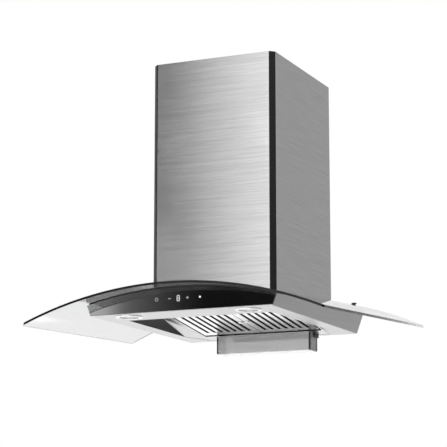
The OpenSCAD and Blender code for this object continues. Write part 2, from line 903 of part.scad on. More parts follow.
// Scroll of the blower seen from the side, drawn in by inset
function scroll(inset) =
    let (sweep = 180 + tongue_a, n = 40)
    concat(
        [for (i = [0:n])
            let (a = tongue_a - sweep * i / n,
                 r = scroll_r0 + (scroll_r1 - scroll_r0) * i / n - inset)
            [wheel_y + r * cos(a), wheel_z + r * sin(a)]],
        [[wheel_y - scroll_r1 + inset, box_top - sheet_t - part_gap],
         [wheel_y + scroll_r0 * cos(tongue_a) - inset, box_top - sheet_t - part_gap]]
    );

// Inlet bell: a quarter-round lip about the wheel's axis
module inlet_bell() {
    translate([0, wheel_y, wheel_z]) rotate([0, 90, 0]) rotate_extrude()
        difference() {
            translate([inlet_r, 0]) square([bell_r, bell_r]);
            translate([inlet_r + bell_r, bell_r]) circle(r = bell_r - skin);
        }
}

// Mouth of the scroll, open to the outlet
module scroll_mouth() {
    mouth_y = scroll_r0 * cos(tongue_a) - skin;
    translate([-volute_half + skin, wheel_y - scroll_r1 + skin, box_top - 3 * sheet_t])
        cube([2 * (volute_half - skin), scroll_r1 - skin + mouth_y, 4 * sheet_t]);
}

// Scroll of the blower with its left-hand side, one folded and seamed sheet
module volute() {
    color("lightgray") level() difference() {
        along_x(-volute_half, volute_half - skin) polygon(scroll(0));
        along_x(-volute_half + skin, volute_half + skin) polygon(scroll(skin));
        translate([-volute_half - skin, wheel_y, wheel_z]) rotate([0, 90, 0])
            cylinder(r = inlet_r, h = 3 * skin);
        scroll_mouth();
    }
}

// Right-hand side of the scroll, with its inlet bell
module volute_cover() {
    color("lightgray") level() {
        difference() {
            along_x(volute_half - skin + eps, volute_half) polygon(scroll(0));
            translate([volute_half - 2 * skin, wheel_y, wheel_z]) rotate([0, 90, 0])
                cylinder(r = inlet_r, h = 3 * skin);
        }
        translate([volute_half + bell_r - skin, 0, 0]) mirror([1, 0, 0]) inlet_bell();
    }
}

// Section of one forward-curved blade, from the inner ring to the outer one
blade_depth = 12;
blade_in = wheel_r - blade_depth;
blade_curl = 13;
blade_half_a = 0.55;
function blade(t0) =
    [for (i = [0:5])
        let (u = i / 5, r = blade_in + (wheel_r - 0.5 - blade_in) * u,
             a = blade_curl * u * u + t0 * blade_half_a)
        r * [cos(a), sin(a)]];

// Wheel: curved blades between two rings, on a drilled back plate with a hub
module blower_wheel() {
    back = [for (i = [5:-1:0]) blade(-1)[i]];
    ring_t = 2;
    hub_r = 12;
    hub_h = 22;
    vent_r = 8;
    vent_at = 32;
    color("dimgray") level() translate([0, wheel_y, wheel_z]) rotate([0, 90, 0])
        difference() {
            union() {
                translate([0, 0, -wheel_w / 2]) linear_extrude(height = wheel_w)
                    for (i = [0:blade_count - 1]) rotate(i * 360 / blade_count)
                        polygon(concat(blade(1), back));
                for (z = [-wheel_w / 2, wheel_w / 2 - ring_t]) translate([0, 0, z])
                    difference() {
                        cylinder(r = wheel_r, h = ring_t);
                        translate([0, 0, -1]) cylinder(r = blade_in + 1, h = ring_t + 2);
                    }
                translate([0, 0, -ring_t / 2]) cylinder(r = wheel_r, h = ring_t);
                translate([0, 0, -10]) cylinder(r = hub_r, h = hub_h);
            }
            translate([0, 0, -hub_h]) cylinder(r = shaft_r + 0.02, h = 2 * hub_h + 6);
            for (i = [0:5]) rotate(i * 60) translate([vent_at, 0, -2 * ring_t])
                cylinder(r = vent_r, h = 4 * ring_t);
        }
}

motor_gap = 6;
motor_front = -10 - motor_gap;
motor_l = 70;
motor_rear = motor_front - motor_l;
bearing_l = 26;

// Shaft from inside the motor, through the hub
module motor_shaft() {
    hold = bearing_l - 2;
    beyond = 12;
    color("silver") level() translate([motor_front - hold, wheel_y, wheel_z])
        rotate([0, 90, 0]) cylinder(r = shaft_r, h = hold - motor_front + beyond);
}

// Motor can with a bearing boss and cooling slots
module motor() {
    boss_l = 4;
    vent_at = 26;
    vent_l = 10;
    vent_w = 6;
    color("darkgray") level() translate([motor_rear, wheel_y, wheel_z]) rotate([0, 90, 0])
        difference() {
            union() {
                cylinder(r = motor_r, h = motor_l);
                translate([0, 0, motor_l]) cylinder(r = 10, h = boss_l);
                translate([0, 0, -boss_l]) cylinder(r = 14, h = boss_l);
            }
            translate([0, 0, motor_l - bearing_l])
                cylinder(r = shaft_r + run_gap, h = bearing_l + 2 * boss_l);
            for (i = [0:7]) rotate(i * 45) translate([vent_at, -vent_w / 2, -1])
                cube([vent_l, vent_w, vent_w]);
        }
}

arm_t = 3;
arm_r = wheel_r;
arm_screw_r = arm_r - 6;

// Spider that holds the motor in the left inlet
module motor_bracket() {
    ring_r = motor_r + seat_gap;
    ring_w = 4;
    arm_w = 14;
    cuff_w = 2;
    cuff_l = 9;
    color("gray") level() translate([-volute_half - arm_t, wheel_y, wheel_z])
        rotate([0, 90, 0]) {
            linear_extrude(height = arm_t - eps) difference() {
                union() {
                    circle(r = ring_r + ring_w);
                    for (i = [0:2]) rotate(90 + i * 120) translate([0, -arm_w / 2])
                        square([arm_r, arm_w]);
                }
                circle(r = ring_r);
                for (i = [0:2]) rotate(90 + i * 120) translate([arm_screw_r, 0]) circle(r = 2.2);
            }
            translate([0, 0, -cuff_l]) difference() {
                cylinder(r = ring_r + cuff_w, h = cuff_l + 1);
                translate([0, 0, -1]) cylinder(r = ring_r, h = cuff_l + 3);
            }
        }
}

// Outlet collar with a stop ring under the damper flaps
module outlet_collar() {
    flange_w = 6;
    stop_w = 2.2;
    half = collar_r + flange_w;
    bore = collar_r - skin;
    color("dimgray") level() translate([0, collar_y, 0]) difference() {
        union() {
            translate([-half, -half, box_top + eps]) cube([2 * half, 2 * half, flange_t]);
            translate([0, 0, box_top + eps]) cylinder(r = collar_r, h = collar_h + flange_t);
        }
        translate([0, 0, box_top - 1]) cylinder(r = bore, h = pin_z - box_top - 1);
        translate([0, 0, box_top]) cylinder(r = bore - stop_w, h = 2 * collar_h);
        translate([0, 0, pin_z - flap_t / 2 - part_gap]) cylinder(r = bore, h = 2 * collar_h);
        translate([-2 * collar_r, 0, pin_z]) rotate([0, 90, 0])
            cylinder(r = pin_r + run_gap, h = 4 * collar_r);
    }
}

// Pin across the collar that both flaps hang on
module damper_pin() {
    color("silver") level() translate([-collar_r + seat_gap, collar_y, pin_z])
        rotate([0, 90, 0]) cylinder(r = pin_r, h = 2 * (collar_r - seat_gap));
}

flap_t = 1;
knuckle_l = 24;

// Half-round flap with two knuckles; side is -1 for the front one, 1 for the rear
module damper(side) {
    inner = knuckle_r + 0.9;
    starts = side < 0 ? [-2, 0] : [-1, 1];
    barrel = knuckle_l - 2 * part_gap;
    color("gainsboro") level() translate([0, collar_y, pin_z]) difference() {
        union() {
            intersection() {
                translate([0, 0, -flap_t / 2]) cylinder(r = flap_r, h = flap_t);
                translate([-flap_r, side > 0 ? inner : -flap_r, -flap_t])
                    cube([2 * flap_r, flap_r - inner, 2 * flap_t]);
            }
            for (i = starts) translate([i * knuckle_l + part_gap, 0, 0]) {
                rotate([0, 90, 0]) cylinder(r = knuckle_r, h = barrel);
                translate([0, side > 0 ? 0 : -inner - 1, -flap_t / 2])
                    cube([barrel, inner + 1, flap_t]);
            }
        }
        translate([-collar_r, 0, 0]) rotate([0, 90, 0])
            cylinder(r = pin_r + run_gap, h = 2 * collar_r);
    }
}

module damper_front() { damper(-1); }
module damper_rear() { damper(1); }

ctrl_side = 12;
ctrl_half = box_half - ctrl_side;
ctrl_front = box_d - 3;
ctrl_d = 25;
ctrl_rear = ctrl_front - ctrl_d;
ctrl_mid = -(ctrl_front + ctrl_rear) / 2;
ctrl_h = 40;
ctrl_wall = 2;
lid_z = box_top + ctrl_h + 2 * eps;
gland_x = 60;
gland_bore = 3.5;

// Control housing on top of the blower box, in front of the collar
module control_box() {
    color("whitesmoke") level() difference() {
        translate([-ctrl_half, -ctrl_front, box_top + eps])
            cube([2 * ctrl_half, ctrl_d, ctrl_h]);
        translate([-ctrl_half + ctrl_wall, -ctrl_front + ctrl_wall, box_top + ctrl_wall])
            cube([2 * (ctrl_half - ctrl_wall), ctrl_d - 2 * ctrl_wall, ctrl_h]);
    }
}

// Lid with a skirt inside the housing and a hole for the gland
module control_lid() {
    skirt_h = 3;
    skirt_t = 1.5;
    set_in = ctrl_wall + part_gap;
    color("white") level() difference() {
        union() {
            translate([-ctrl_half, -ctrl_front, lid_z])
                cube([2 * ctrl_half, ctrl_d, ctrl_wall]);
            translate([-ctrl_half + set_in, -ctrl_front + set_in, lid_z - skirt_h])
                cube([2 * (ctrl_half - set_in), ctrl_d - 2 * set_in, skirt_h + eps]);
        }
        translate([-ctrl_half + set_in + skirt_t, -ctrl_front + set_in + skirt_t,
            lid_z - 2 * skirt_h])
            cube([2 * (ctrl_half - set_in - skirt_t), ctrl_d - 2 * (set_in + skirt_t),
                2 * skirt_h]);
        translate([gland_x, ctrl_mid, lid_z - 1])
            cylinder(r = gland_bore + 1, h = ctrl_wall + 2);
    }
}

// Supply board standing in the control housing
module power_board() {
    supply_w = 110;
    supply_h = 30;
    from_end = 6;
    from_front = 5;
    part_w = 16;
    part_pitch = 24;
    part_d = 10;
    color("darkgreen") level() {
        translate([-ctrl_half + from_end, -ctrl_front + from_front, box_top + ctrl_wall + eps])
            cube([supply_w, board_t, supply_h]);
        for (i = [0:3])
            translate([-ctrl_half + 2 * from_end + i * part_pitch,
                -ctrl_front + from_front + board_t - eps, box_top + ctrl_wall + from_end])
                cube([part_w, part_d, part_w - 2 * i]);
    }
}

// Run capacitor of the motor
module capacitor() {
    can_r = 9;
    can_l = 38;
    from_end = 10;
    color("white") level()
        translate([ctrl_half - from_end - can_l, ctrl_mid,
            box_top + ctrl_wall + part_gap + can_r])
            rotate([0, 90, 0]) cylinder(r = can_r, h = can_l);
}

// Inlet for the mains lead, on the lid of the control housing
module mains_gland() {
    nut_h = 3;
    neck_h = 4;
    color("black") level()
        translate([gland_x, ctrl_mid, lid_z + ctrl_wall + eps]) difference() {
            union() {
                cylinder(r = 8, h = nut_h, $fn = 6);
                translate([0, 0, nut_h]) cylinder(r = 6, h = neck_h);
            }
            translate([0, 0, -1]) cylinder(r = gland_bore, h = nut_h + neck_h + 2);
        }
}

// A pan-head screw standing on z = 0, its shank below
module screw(head_r, shank_r, depth) {
    head_h = 1.6;
    cylinder(r = head_r, h = head_h);
    translate([0, 0, -depth]) cylinder(r = shank_r, h = depth + head_h / 2);
}

// Screws through the flange of the blower box into the body's top
module chassis_screws() {
    head_r = 3;
    from_edge = 6;
    lift = 1.2;
    outer = box_half - from_edge + head_r + 1;
    color("silver") level() for (side = [-1, 1], part = [1, 3, 5]) {
        y = -box_d * part / 6;
        translate([side * (box_half - from_edge), y, arch_z(outer, y, seat_r + sheet_t) + lift])
            screw(head_r, 1.2, 0);
    }
}

// Screws of the collar flange
module collar_screws() {
    out = collar_r + 1;
    color("silver") level() for (x = [-1, 1], y = [-1, 1])
        translate([x * out, collar_y + y * out, collar_base + 2 * eps]) screw(3, 1.2, 0);
}

// Screws that fix the motor spider to the blower housing
module bracket_screws() {
    color("silver") level() translate([-volute_half - arm_t, wheel_y, wheel_z])
        rotate([0, 90, 0]) for (i = [0:2])
            rotate(90 + i * 120) translate([arm_screw_r, 0, -eps]) mirror([0, 0, 1])
                screw(3.4, 1.6, arm_t - eps);
}

// Screws round the edge of the blower cover
module cover_screws() {
    color("silver") level() translate([volute_half + eps, wheel_y, wheel_z])
        rotate([0, 90, 0]) for (a = [20, 100, 180, 260])
            rotate(a) translate([inlet_r + bell_r + 5, 0, 0]) screw(2.6, 1.2, 0);
}

canopy_body();
underside_pan();
glass_canopy();
glass_seal();
glass_pads();
glass_bolts();
touch_panel();
touch_board();
touch_sensors();
display_module();
lamp_ring_left();
lamp_ring_right();
lamp_lens_left();
lamp_lens_right();
lamp_module_left();
lamp_module_right();
filter_frame_left();
filter_frame_right();
filter_lower_left();
filter_lower_right();
filter_upper_left();
filter_upper_right();
filter_pull_left();
filter_pull_right();
filter_catch_left();
filter_catch_right();
oil_cup();
cup_ends();
cup_magnets();
cup_rail();
lower_chimney();
corner_strip_left();
corner_strip_right();
upper_chimney();
ceiling_bracket();
chimney_clips();
chassis();
volute();
volute_cover();
blower_wheel();
motor_shaft();
motor();
motor_bracket();
outlet_collar();
damper_pin();
damper_front();
damper_rear();
control_box();
control_lid();
power_board();
capacitor();
mains_gland();
chassis_screws();
collar_screws();
bracket_screws();
cover_screws();
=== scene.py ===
import math

import bmesh
import bpy
from mathutils import Matrix, Vector


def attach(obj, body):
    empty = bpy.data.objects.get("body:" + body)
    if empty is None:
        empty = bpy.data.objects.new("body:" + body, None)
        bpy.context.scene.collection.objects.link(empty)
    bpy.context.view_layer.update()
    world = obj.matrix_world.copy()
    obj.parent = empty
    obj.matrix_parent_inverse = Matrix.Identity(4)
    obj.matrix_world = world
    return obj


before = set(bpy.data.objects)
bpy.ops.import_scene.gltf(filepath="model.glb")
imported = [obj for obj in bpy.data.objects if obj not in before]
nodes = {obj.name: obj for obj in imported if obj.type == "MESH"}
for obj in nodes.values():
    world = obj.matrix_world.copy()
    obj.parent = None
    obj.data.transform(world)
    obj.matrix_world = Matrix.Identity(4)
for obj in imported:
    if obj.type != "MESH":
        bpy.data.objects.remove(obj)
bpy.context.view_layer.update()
scene = bpy.context.scene
scene.view_settings.view_transform = "Standard"


# Viewing place: a long lens set low on the hood's right and tipped up at it,
# as the photograph was taken. Its picture is square.
IMAGE_PX = 447
FOCAL_PX = 1770.1
SENSOR_MM = 36
CAMERA_PLACE = (1.2821, -3.0980, -0.6131)
# Radians above level, and to the left of straight ahead
CAMERA_TIP = 0.1895
CAMERA_TURN = 0.4202
camera_data = bpy.data.cameras.new("camera")
camera_data.sensor_width = SENSOR_MM
camera_data.lens = FOCAL_PX / IMAGE_PX * SENSOR_MM
camera = bpy.data.objects.new("camera", camera_data)
camera.location = CAMERA_PLACE
camera.rotation_euler = (math.radians(90) + CAMERA_TIP, 0, CAMERA_TURN)
scene.collection.objects.link(camera)
scene.camera = camera


# Studio: white behind the object, and a soft surround whose bright and dark
# zones give the sheet metal and the black glass their shading.
world = bpy.data.worlds.new("studio")
world.use_nodes = True
scene.world = world
studio = world.node_tree
studio.nodes.clear()


def feed(tree, value, socket):
    if isinstance(value, bpy.types.NodeSocket):
        tree.links.new(value, socket)
    else:
        socket.default_value = value


def math_node(tree, operation, *values):
    node = tree.nodes.new("ShaderNodeMath")
    node.operation = operation
    for slot, value in enumerate(values):
        feed(tree, value, node.inputs[slot])
    return node.outputs[0]


def ramp(tree, value, low, high, out_low, out_high):
    node = tree.nodes.new("ShaderNodeMapRange")
    node.interpolation_type = "SMOOTHSTEP"
    for name, given in (("Value", value), ("From Min", low), ("From Max", high),
                        ("To Min", out_low), ("To Max", out_high)):
        feed(tree, given, node.inputs[name])
    return node.outputs["Result"]


def axes(tree, vector):
    split = tree.nodes.new("ShaderNodeSeparateXYZ")
    tree.links.new(vector, split.inputs[0])
    return split.outputs


def grey(level):
    return (level, level, level, 1)


# A zone turns from one level of light to another between the two ends of its edge
def zone(along, edge, before, after):
    return ramp(studio, along, *edge, before, after)


WHITE = 1.0
toward = studio.nodes.new("ShaderNodeTexCoord").outputs["Generated"]
dir_x, dir_y, dir_z = axes(studio, toward)
minus_x = math_node(studio, "MULTIPLY", dir_x, -1)
minus_y = math_node(studio, "MULTIPLY", dir_y, -1)
# Angle to the left of straight ahead of the front, in radians
left_of_front = math_node(studio, "ARCTAN2", minus_x, minus_y)

# Ahead: a soft light on the right that ends in the dark on the left
FRONT_RIGHT_EDGE = (-1.0, -0.6)
FRONT_LEFT_EDGE = (0.386, 0.468)
FRONT_LIGHT = (0.35, 1.50)
FRONT_DARK = 0.03
front_light = zone(left_of_front, FRONT_RIGHT_EDGE, *FRONT_LIGHT)
high_front = zone(left_of_front, FRONT_LEFT_EDGE, front_light, FRONT_DARK)
LOW_GAIN = 1.2
low_front = math_node(studio, "MULTIPLY", high_front, LOW_GAIN)

# Ahead on the left: a level band, no taller than what the touch front mirrors
BAND_RISE = (0.428, 0.519)
BAND_STEP = (0.477, 0.490)
BAND_END = (0.502, 0.520)
BAND_FOOT = (0.120, 0.130)
BAND_TOP = (0.158, 0.164)
RISE_LIGHT = (0.02, 2.0)
STEP_LIGHT = (0.0, 3.4)
PAST_BAND = 0.2
band_rise = zone(left_of_front, BAND_RISE, *RISE_LIGHT)
band_step = zone(left_of_front, BAND_STEP, *STEP_LIGHT)
band_light = math_node(studio, "ADD", band_rise, band_step)
band = zone(left_of_front, BAND_END, band_light, PAST_BAND)
front = zone(dir_z, BAND_TOP, zone(dir_z, BAND_FOOT, low_front, band), high_front)

# Behind: brighter on the left and low down
BEHIND_LOW_EDGE = (-0.05, 0.12)
BEHIND_RIGHT_EDGE = (-0.05, 0.30)
BEHIND_LEFT = (1.5, 0.9)
BEHIND_RIGHT = 0.42
BESIDE_EDGE = (-0.25, 0.15)
behind_left = zone(dir_z, BEHIND_LOW_EDGE, *BEHIND_LEFT)
behind = zone(dir_x, BEHIND_RIGHT_EDGE, behind_left, BEHIND_RIGHT)
around = zone(dir_y, BESIDE_EDGE, front, behind)

# Below: bright for the filters, dim for the glass wing, bright for the recess
# and dim for the body's side
DIM = 0.68
FILTER_GAIN_EDGE = (-0.42, -0.36)
FILTER_END = (-0.335, -0.305)
FILTER_TOP = (-0.335, -0.31)
RECESS_START = (-0.26, -0.24)
RECESS_END = (0.05, 0.15)
RECESS_LIGHT = 1.6
FILTER_LIGHT = (1.6, 2.4)
filter_light = zone(dir_x, FILTER_GAIN_EDGE, *FILTER_LIGHT)
filter_zone = zone(dir_z, FILTER_TOP, zone(dir_x, FILTER_END, filter_light, DIM), DIM)
recess_zone = zone(dir_x, RECESS_END, RECESS_LIGHT, DIM)
below = zone(dir_x, RECESS_START, filter_zone, recess_zone)

HORIZON_EDGE = (-0.24, -0.18)
OVERHEAD_EDGE = (0.45, 0.85)
surround = zone(dir_z, OVERHEAD_EDGE, zone(dir_z, HORIZON_EDGE, below, around), WHITE)

# White for the camera and for what it sees straight through glass
paths = studio.nodes.new("ShaderNodeLightPath")
mirrored = math_node(studio, "MINIMUM", paths.outputs["Glossy Depth"], 1)
not_mirrored = math_node(studio, "SUBTRACT", 1, mirrored)
straight = math_node(studio, "MULTIPLY", paths.outputs["Is Transmission Ray"], not_mirrored)
seen = math_node(studio, "MAXIMUM", paths.outputs["Is Camera Ray"], straight)
background = studio.nodes.new("ShaderNodeBackground")
background.inputs["Color"].default_value = grey(WHITE)
feed(studio, ramp(studio, seen, 0.0, 1.0, surround, WHITE), background.inputs["Strength"])
world_out = studio.nodes.new("ShaderNodeOutputWorld")
studio.links.new(background.outputs[0], world_out.inputs["Surface"])

KEY_ACROSS = 1.6
KEY_WATTS = 14
KEY_PLACE = (1.6, -2.2, 1.6)
KEY_AIM = Vector((0, -0.2, 0))
key_data = bpy.data.lights.new("key", "AREA")
key_data.shape = "DISK"
key_data.size = KEY_ACROSS
key_data.energy = KEY_WATTS
key = bpy.data.objects.new("key", key_data)
key.location = KEY_PLACE
key.rotation_euler = (KEY_AIM - key.location).to_track_quat("-Z", "Y").to_euler()
scene.collection.objects.link(key)


# Floor: a pale board well below the hood. Seen from underneath it is clear, so
# that it never stands between the hood and a low camera.
FLOOR_Z = -1.25
FLOOR_SIDE = 40.0
FLOOR_WHITE = 0.93
FLOOR_ROUGH = 0.9


def new_look(name):
    look = bpy.data.materials.new(name)
    look.use_nodes = True
    return look, look.node_tree, look.node_tree.nodes["Principled BSDF"].inputs


def add_object(name, bm, look):
    mesh = bpy.data.meshes.new(name)
    bm.to_mesh(mesh)
    bm.free()
    mesh.materials.append(look)
    made = bpy.data.objects.new(name, mesh)
    scene.collection.objects.link(made)
    return made


floor_look, floor_tree, floor_sockets = new_look("pale_floor")
floor_sockets["Base Color"].default_value = grey(FLOOR_WHITE)
floor_sockets["Roughness"].default_value = FLOOR_ROUGH
board = floor_tree.nodes["Principled BSDF"]
clear = floor_tree.nodes.new("ShaderNodeBsdfTransparent")
facing = floor_tree.nodes.new("ShaderNodeNewGeometry")
choose = floor_tree.nodes.new("ShaderNodeMixShader")
for given, slot in ((facing.outputs["Backfacing"], 0), (board.outputs[0], 1), (clear.outputs[0], 2)):
    floor_tree.links.new(given, choose.inputs[slot])
floor_tree.links.new(choose.outputs[0], floor_tree.nodes["Material Output"].inputs["Surface"])

floor_bm = bmesh.new()
bmesh.ops.create_grid(floor_bm, x_segments=1, y_segments=1, size=FLOOR_SIDE / 2)
bmesh.ops.translate(floor_bm, verts=floor_bm.verts, vec=(0, 0, FLOOR_Z))
floor = add_object("floor", floor_bm, floor_look)
floor.visible_glossy = False


# Body: satin stainless sheet, ground in fine level lines, then folded and set
# under the glass. The other sheet parts are ground in the same way.
LINE_DETAIL = 3
LINE_ROUGHNESS = 0.65
CLOUD_SCALE = 9
# The middle of a noise, and the span that holds nearly all of its values
NOISE_MIDDLE = 0.5
NOISE_SPAN = (0.3, 0.7)


def noise(tree, place, scale, detail=2):
    made = tree.nodes.new("ShaderNodeTexNoise")
    made.inputs["Scale"].default_value = scale
    made.inputs["Detail"].default_value = detail
    tree.links.new(place, made.inputs["Vector"])
    return made


def on_object(tree):
    return tree.nodes.new("ShaderNodeTexCoord").outputs["Object"]


def mix(tree, share, first, second):
    made = tree.nodes.new("ShaderNodeMix")
    made.data_type = "RGBA"
    for name, given in (("Factor", share), ("A", first), ("B", second)):
        feed(tree, given, made.inputs[name])
    return made.outputs["Result"]


def brushed_lines_group():
    tree = bpy.data.node_groups.new("brushed_lines", "ShaderNodeTree")
    face = tree.interface
    for name, value in (("Along X", 3.0), ("Along Y", 3.0), ("Along Z", 900.0), ("Contrast", 1.0)):
        face.new_socket(name=name, in_out="INPUT", socket_type="NodeSocketFloat").default_value = value
    for name in ("Shade", "Cloud"):
        face.new_socket(name=name, in_out="OUTPUT", socket_type="NodeSocketFloat")
    given = tree.nodes.new("NodeGroupInput")
    made = tree.nodes.new("NodeGroupOutput")
    place = on_object(tree)
    stretch = tree.nodes.new("ShaderNodeCombineXYZ")
    for slot, name in enumerate(("Along X", "Along Y", "Along Z")):
        tree.links.new(given.outputs[name], stretch.inputs[slot])
    product = tree.nodes.new("ShaderNodeVectorMath")
    product.operation = "MULTIPLY"
    tree.links.new(place, product.inputs[0])
    tree.links.new(stretch.outputs[0], product.inputs[1])
    lines = noise(tree, product.outputs[0], 1, LINE_DETAIL)
    lines.inputs["Roughness"].default_value = LINE_ROUGHNESS
    centred = math_node(tree, "SUBTRACT", lines.outputs["Fac"], NOISE_MIDDLE)
    scaled = math_node(tree, "MULTIPLY", centred, given.outputs["Contrast"])
    tree.links.new(math_node(tree, "ADD", scaled, NOISE_MIDDLE), made.inputs["Shade"])
    tree.links.new(noise(tree, place, CLOUD_SCALE).outputs["Fac"], made.inputs["Cloud"])
    return tree


brushed_lines = brushed_lines_group()
# Steel is a trace bluer than grey, and its sheen varies by this much either way
STEEL_BLUE = 1.005
SHEEN_SPREAD = 0.02
BUMP_DEPTH = 0.0001
# A quarter turn, so that the highlights spread across the level lines
ACROSS_LINES = 0.25


def steel(name, grain, dark, light, rough, contrast=1.0, anisotropy=0.6, bump=0.15):
    look, tree, sockets = new_look(name)
    sockets["Metallic"].default_value = 1
    sockets["Anisotropic"].default_value = anisotropy
    lines = tree.nodes.new("ShaderNodeGroup")
    lines.node_tree = brushed_lines
    for label, value in zip(("Along X", "Along Y", "Along Z"), grain):
        lines.inputs[label].default_value = value
    lines.inputs["Contrast"].default_value = contrast
    shades = [(level, level, level * STEEL_BLUE, 1) for level in (dark, light)]
    feed(tree, mix(tree, lines.outputs["Shade"], *shades), sockets["Base Color"])
    sheen = ramp(tree, lines.outputs["Cloud"], *NOISE_SPAN, rough - SHEEN_SPREAD, rough + SHEEN_SPREAD)
    feed(tree, sheen, sockets["Roughness"])
    height = tree.nodes.new("ShaderNodeBump")
    height.inputs["Strength"].default_value = bump
    height.inputs["Distance"].default_value = BUMP_DEPTH
    tree.links.new(lines.outputs["Shade"], height.inputs["Height"])
    tree.links.new(height.outputs["Normal"], sockets["Normal"])
    if anisotropy:
        tangent = tree.nodes.new("ShaderNodeTangent")
        tangent.direction_type = "RADIAL"
        tangent.axis = "Z"
        tree.links.new(tangent.outputs[0], sockets["Tangent"])
        sockets["Anisotropic Rotation"].default_value = ACROSS_LINES
    return look


def dress(look, *names):
    for name in names:
        materials = nodes[name].data.materials
        materials.clear()
        materials.append(look)


# Lines to a metre along each axis: few along the lines, many across them
LEVEL_GRAIN = (9, 9, 500)
dress(steel("body_steel", LEVEL_GRAIN, 0.46, 0.60, 0.33), "canopy_body")


# Underside pan: a satin sheet, pressed with the recess and pierced for the
# lamps. It stands just inside the folded lower edge of the body.
ACROSS_GRAIN = (4, 700, 700)
RECESS_PAINTED_SHADE = 0.75
# How far a face has to turn to the left or right before it counts as a side
SIDE_EDGE = (0.8, 0.95)


# Gives the faces that look left or right a share of another grey, as painted shade or, with metal, as a
# painted highlight
def paint_side_faces(look, level, share, side_highlight_metal=False):
    tree = look.node_tree
    sockets = tree.nodes["Principled BSDF"].inputs
    plain_colour = sockets["Base Color"].links[0].from_socket
    normal = tree.nodes.new("ShaderNodeTexCoord").outputs["Normal"]
    across = math_node(tree, "ABSOLUTE", axes(tree, normal)["X"])
    side = ramp(tree, across, *SIDE_EDGE, 0.0, share)
    feed(tree, mix(tree, side, plain_colour, grey(level)), sockets["Base Color"])
    if side_highlight_metal:
        feed(tree, side, sockets["Metallic"])


pan_steel = steel("pan_steel", ACROSS_GRAIN, 0.46, 0.54, 0.34, anisotropy=0)
# The faces that look left or right, the side walls of the recess, are painted darker: painted shade.
paint_side_faces(pan_steel, 0.0, RECESS_PAINTED_SHADE)
dress(pan_steel, "underside_pan")


# Chimney: the same ground sheet as the body, in two lengths that nest, with a
# black strip over each front corner of the lower one. The strip's faces that turn
# to the side are painted as bright metal, a painted highlight on its edges.
chimney_steel = steel("chimney_steel", LEVEL_GRAIN, 0.54, 0.78, 0.17,
                      contrast=1.3, anisotropy=0.8, bump=0.1)
dress(chimney_steel, "lower_chimney", "upper_chimney")
MOTTLE_SCALE = 160
MOTTLE_DETAIL = 3
SHADE_SPREAD = 0.06
ROUGH_SPREAD = 0.08
PAINTED_HIGHLIGHT_GREY = 0.85


# A coloured surface with a faint mottle in its shade and sheen
def plain(name, colour, rough, metallic=0.0, specular=0.5):
    look, tree, sockets = new_look(name)
    sockets["Metallic"].default_value = metallic
    sockets["Specular IOR Level"].default_value = specular
    grain = noise(tree, on_object(tree), MOTTLE_SCALE, MOTTLE_DETAIL).outputs["Fac"]
    shades = [tuple(c * (1 + turn * SHADE_SPREAD) for c in colour) + (1,) for turn in (-1, 1)]
    feed(tree, mix(tree, grain, *shades), sockets["Base Color"])
    dull, keen = rough * (1 - ROUGH_SPREAD), rough * (1 + ROUGH_SPREAD)
    feed(tree, ramp(tree, grain, *NOISE_SPAN, dull, keen), sockets["Roughness"])
    return look


strip_black = plain("strip_black", (0.008, 0.008, 0.009), 0.45, specular=0.25)
# The strip's faces that look left or right become bright metal: a painted highlight on its edges.
paint_side_faces(strip_black, PAINTED_HIGHLIGHT_GREY, 1.0, side_highlight_metal=True)
dress(strip_black, "corner_strip_left", "corner_strip_right")


# Canopy: a sheet of clear tempered glass, bent to an arch and ground along its
# edges. Its front edge is painted black where seen from outside, as painted shade
# for the dark look of the glass edge, and a dark grey painted over the left of the
# touch front is a painted reflection of the touch front. Two capped screws and
# soft pads hold it.
GLASS_IOR = 1.5
GLASS_TINT = ((0.925, 0.932, 0.930, 1), (0.940, 0.945, 0.943, 1))
TINT_SCALE = 14
FRONT_EDGE_Y = (-0.4589, -0.4586)
# The sides run in by 20 mm over the depth
GLASS_TAPER = 0.020 / 0.459
SIDE_EDGE_X = (0.2995, 0.2998)
FRONT_EDGE_ROUGH = 0.25
SIDE_EDGE_ROUGH = 0.9
PAINTED_REFLECTION_GREY = 0.10
PAINTED_REFLECTION_SHARE = 0.65
PAINTED_REFLECTION_REAR_Y = (-0.415, -0.413)
PAINTED_REFLECTION_LEFT_X = (-0.171, -0.169)
PAINTED_REFLECTION_RIGHT_X = (-0.09, -0.03)


